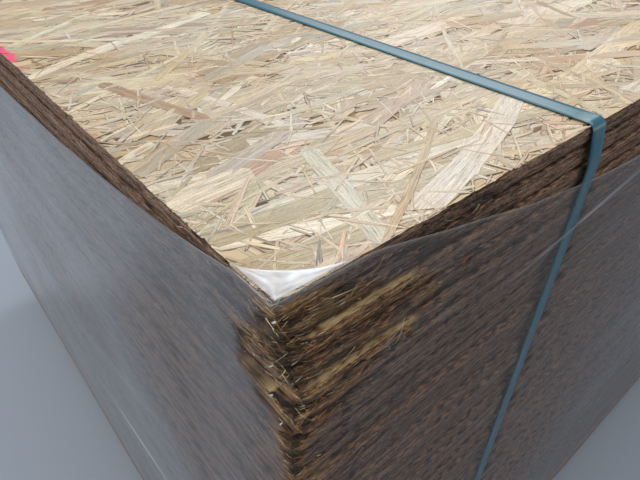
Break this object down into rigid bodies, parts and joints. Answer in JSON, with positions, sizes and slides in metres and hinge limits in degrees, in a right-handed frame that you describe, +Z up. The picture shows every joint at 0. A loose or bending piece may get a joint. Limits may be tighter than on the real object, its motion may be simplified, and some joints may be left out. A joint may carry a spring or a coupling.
{
  "type": "strapped stack of osb panels",
  "caption": "Pile of oriented strand board panels on timber bearers, bound with plastic straps and wound in clear stretch film.",
  "frame": {"origin": "middle of the pack's footprint, on the floor", "axes": "+Z up, X along the panels, Y across them; the near end is at -X and the near long side at -Y"},
  "size_m": [2.5116, 1.2588, 0.9029],
  "materials": {
    "osb": "pressed strands, matt",
    "softwood": "rough sawn",
    "strap": "embossed polyester band",
    "stretch_film": "clear stretch film"
  },
  "bodies": {
    "root": {"panel_01": "osb", "panel_02": "osb", "panel_03": "osb", "panel_04": "osb", "panel_05": "osb", "panel_06": "osb", "panel_07": "osb", "panel_08": "osb", "panel_09": "osb", "panel_10": "osb", "panels_11_18": "osb", "panels_19_26": "osb", "panels_27_34": "osb", "panels_35_42": "osb", "panels_43_50": "osb", "panels_51_58": "osb", "panels_59_66": "osb", "bearer_near_end": "softwood", "bearer_middle": "softwood", "bearer_far_end": "softwood", "strap_near_end": "strap", "strap_middle": "strap", "strap_far_end": "strap", "film_wrap": "stretch_film"}
  },
  "joints": []
}
